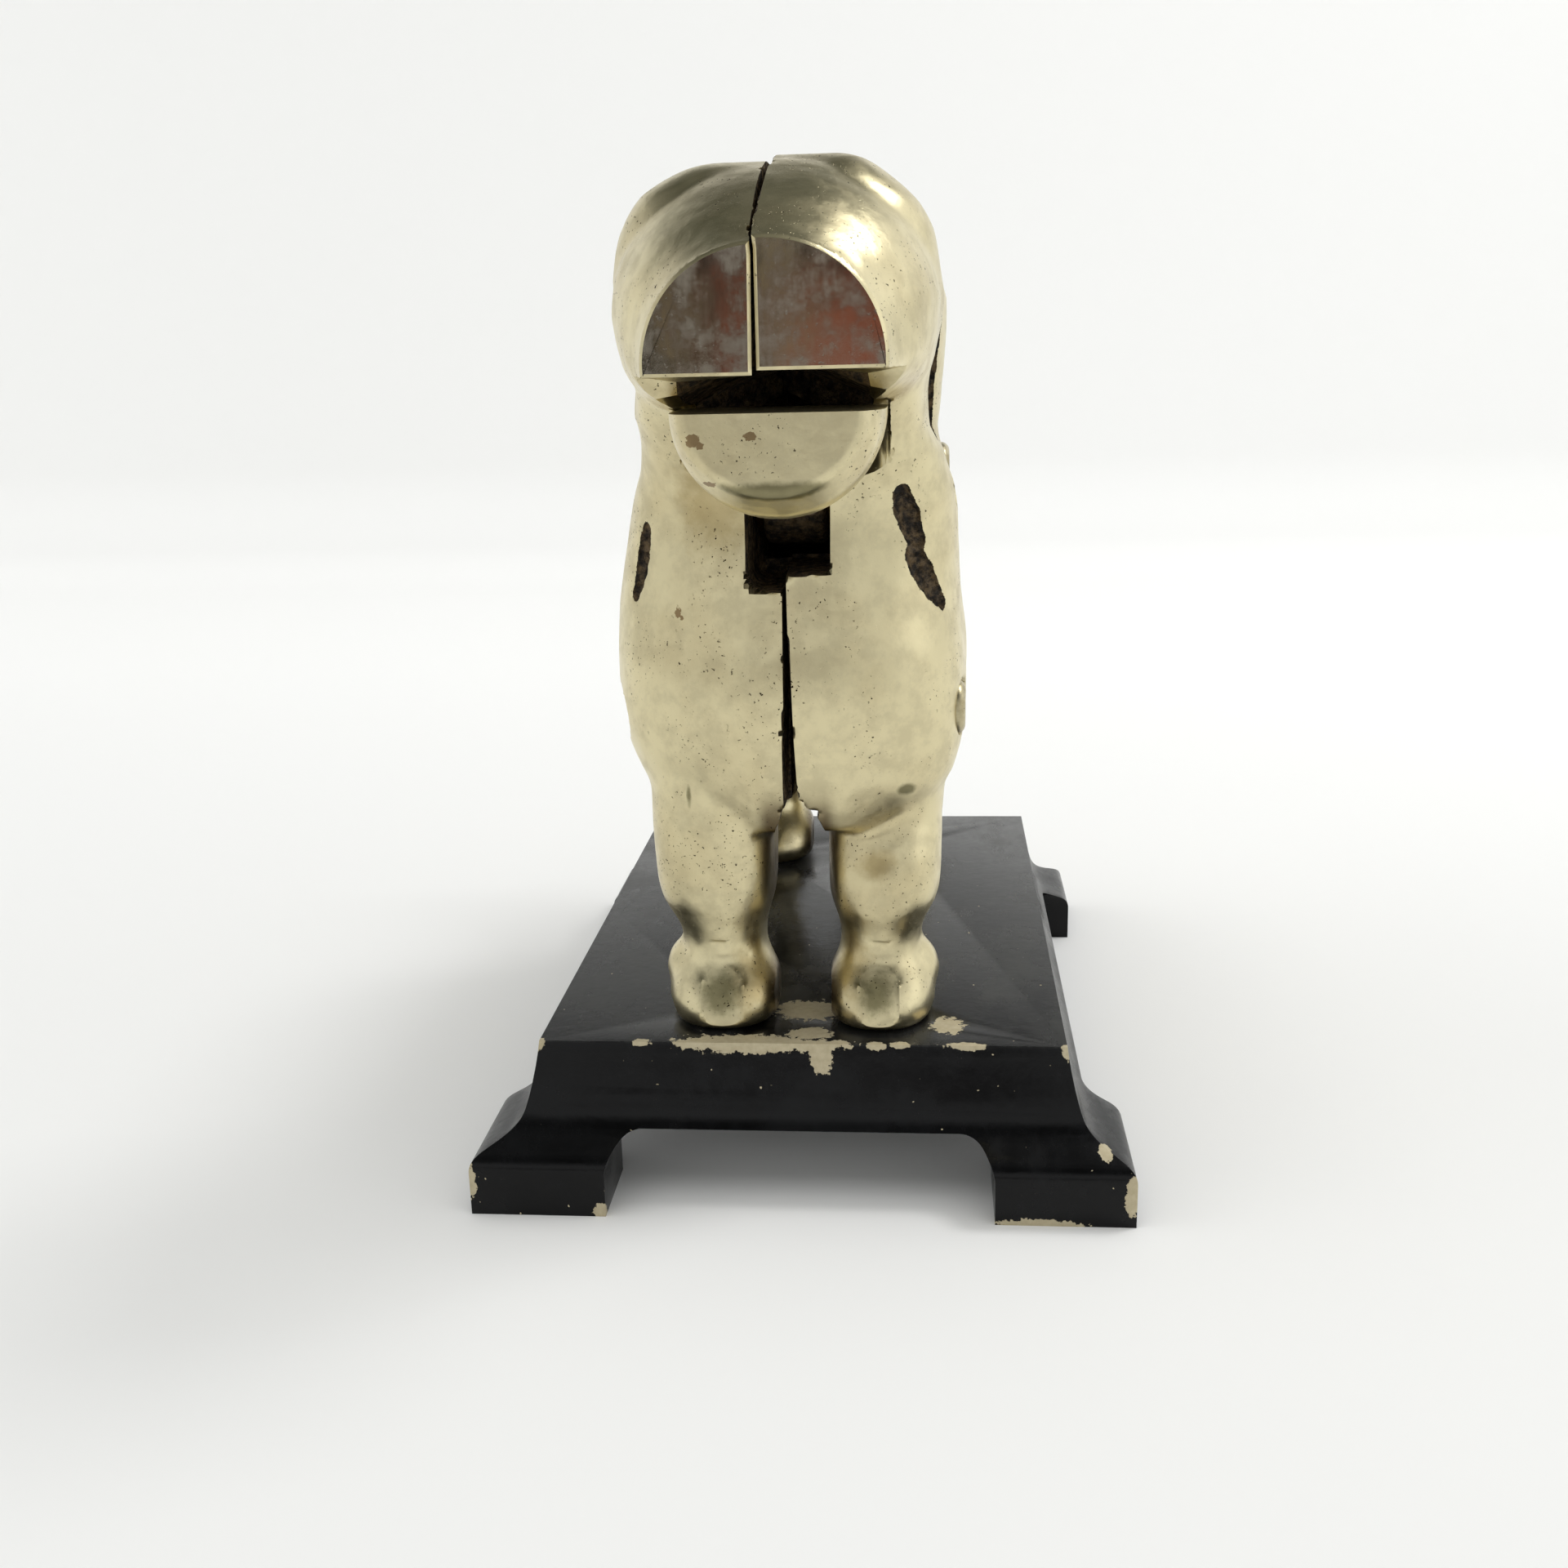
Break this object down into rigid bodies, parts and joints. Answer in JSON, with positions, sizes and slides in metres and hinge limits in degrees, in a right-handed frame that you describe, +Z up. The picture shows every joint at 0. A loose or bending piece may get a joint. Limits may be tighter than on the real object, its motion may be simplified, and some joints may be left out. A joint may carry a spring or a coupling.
{
  "type": "animal figure nutcracker",
  "caption": "Standing animal nutcracker: two riveted cast halves on a bracket-foot plinth; raising the tail lever opens the lower jaw.",
  "frame": {"origin": "on the table, under the centre of the plinth's deck", "axes": "+Z up; -Y the way the animal faces, +Y towards its tail; +X to the right of someone looking at its face"},
  "size_m": [0.082, 0.1352, 0.124],
  "materials": {
    "nickel_plate": "nickel plated casting, worn satin with polished flats",
    "black_lacquer": "black lacquer, chipped at the edges",
    "brass": "plain turned brass",
    "zinc_steel": "dull zinc plated steel"
  },
  "bodies": {
    "body": {"plinth": "black_lacquer", "body_half_right": "nickel_plate", "body_half_left": "nickel_plate", "pivot_pin": "nickel_plate", "pivot_washer_right": "brass", "pivot_washer_left": "brass", "chest_rivet": "nickel_plate", "belly_rivet": "nickel_plate", "haunch_rivet": "nickel_plate", "base_screw_front_left": "zinc_steel", "base_screw_front_right": "zinc_steel", "base_screw_rear_left": "zinc_steel", "base_screw_rear_right": "zinc_steel", "base_washer_front_left": "zinc_steel", "base_washer_front_right": "zinc_steel", "base_washer_rear_left": "zinc_steel", "base_washer_rear_right": "zinc_steel"},
    "lever": {"jaw_tail_lever": "nickel_plate"}
  },
  "joints": [
    {"name": "jaw_tail", "type": "hinge", "parent": "body", "child": "lever", "pos_m": [0, -0.034, 0.0883], "axis": [1, 0, 0], "range_deg": [0, 20]}
  ]
}
